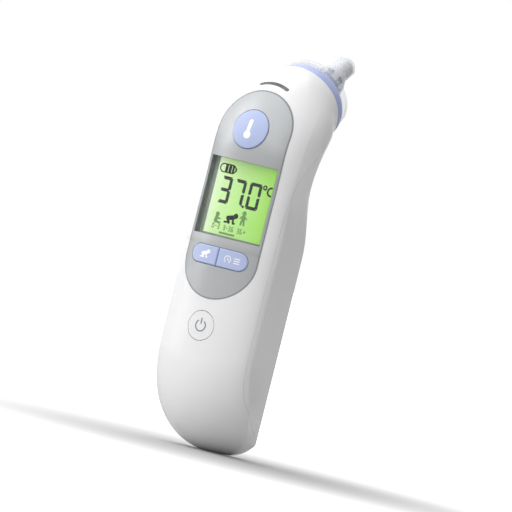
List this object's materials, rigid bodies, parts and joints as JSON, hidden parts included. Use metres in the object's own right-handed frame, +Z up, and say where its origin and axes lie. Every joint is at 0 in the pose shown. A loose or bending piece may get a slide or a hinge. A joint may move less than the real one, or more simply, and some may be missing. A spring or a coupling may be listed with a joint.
{
  "type": "infrared ear thermometer",
  "caption": "Hand-held infrared ear thermometer with a lit display, press buttons, a tilted probe with a clear lens filter and ejector, and a rear battery door.",
  "frame": {"origin": "centre of the hand grip, 45 mm above the lowest point of the handle, on the handle's axis", "axes": "+Z up the handle, -Y out of the display, +X to the right seen from the front; the probe points up and back, 53 degrees from +Z towards +Y"},
  "size_m": [0.0426, 0.0599, 0.1531],
  "materials": {
    "shell_white": "gloss",
    "panel_grey": "satin silver-grey",
    "trim_dark": "satin",
    "button_blue": "satin",
    "clear_window": "clear, gloss",
    "lcd_green": "lit display",
    "backlight": "lit diffuser",
    "inner_frame": "matt grey",
    "guide_smoke": "smoked",
    "silicone": "matt",
    "elastomer": "matt",
    "board_green": "solder mask",
    "chip_black": "moulded",
    "steel": "bright",
    "nickel": "nickel plated",
    "gold": "gold plated",
    "cell_jacket": "printed film",
    "bay_white": "matt",
    "nose_white": "satin",
    "ejector_blue": "satin, slightly translucent",
    "finger_blue": "satin",
    "filter_clear": "thin clear film",
    "flex_amber": "film",
    "sensor_glass": "dark window"
  },
  "bodies": {
    "housing": {"front_shell": "shell_white", "rear_shell": "shell_white", "control_panel": "panel_grey", "panel_trim": "trim_dark", "display_window": "clear_window", "guide_light_lens": "guide_smoke", "lcd_panel": "lcd_green", "lcd_backlight": "backlight", "lcd_frame": "inner_frame", "display_connector": "elastomer", "backlight_leds": "bay_white", "main_board": "board_green", "board_screws": "steel", "case_screws": "steel", "keypad_mat": "silicone", "switch_domes": "nickel", "microcontroller": "chip_black", "memory_chip": "chip_black", "clock_crystal": "nickel", "beeper": "chip_black", "board_components": "chip_black", "sensor_connector": "bay_white", "battery_tray": "bay_white", "battery_left": "cell_jacket", "battery_right": "cell_jacket", "bridge_contact": "nickel", "positive_contact": "nickel", "negative_contact": "nickel", "spring_left": "nickel", "spring_right": "nickel", "battery_leads": "nickel", "probe_base": "nose_white", "probe_nose": "nose_white", "probe_screws": "steel", "sensor_can": "nickel", "sensor_window": "sensor_glass", "wave_guide": "gold", "sensor_holder": "gold", "probe_heater": "flex_amber", "sensor_leads": "gold", "sensor_board": "board_green", "sensor_flex": "flex_amber", "ejector_spring": "steel", "guide_light_led": "bay_white", "guide_light_board": "board_green"},
    "start_button": {"start_button": "button_blue"},
    "age_button": {"age_button": "button_blue"},
    "memory_button": {"memory_button": "button_blue"},
    "power_button": {"power_button": "shell_white"},
    "door_latch": {"door_latch": "button_blue"},
    "battery_door": {"battery_door": "shell_white"},
    "ejector": {"filter_ejector": "ejector_blue", "ejector_fingers": "finger_blue"},
    "lens_filter": {"lens_filter": "filter_clear"}
  },
  "joints": [
    {"name": "start_button_press", "type": "slide", "parent": "housing", "child": "start_button", "axis": [0, 1, 0], "range_m": [0, 0.0007], "stiffness_N_per_m": 900},
    {"name": "age_button_press", "type": "slide", "parent": "housing", "child": "age_button", "axis": [0, 1, 0], "range_m": [0, 0.0007], "stiffness_N_per_m": 900},
    {"name": "memory_button_press", "type": "slide", "parent": "housing", "child": "memory_button", "axis": [0, 1, 0], "range_m": [0, 0.0007], "stiffness_N_per_m": 900},
    {"name": "power_button_press", "type": "slide", "parent": "housing", "child": "power_button", "axis": [0, 1, 0], "range_m": [0, 0.0007], "stiffness_N_per_m": 900},
    {"name": "door_latch_press", "type": "slide", "parent": "housing", "child": "door_latch", "axis": [0, -1, 0], "range_m": [0, 0.001], "stiffness_N_per_m": 900},
    {"name": "battery_door_lift", "type": "slide", "parent": "housing", "child": "battery_door", "axis": [0, 1, 0], "range_m": [0, 0.03]},
    {"name": "ejector_push", "type": "slide", "parent": "housing", "child": "ejector", "axis": [0, 0.7986, 0.6018], "range_m": [0, 0.004], "stiffness_N_per_m": 600},
    {"name": "lens_filter_pull", "type": "slide", "parent": "ejector", "child": "lens_filter", "axis": [0, 0.7986, 0.6018], "range_m": [0, 0.035]}
  ]
}
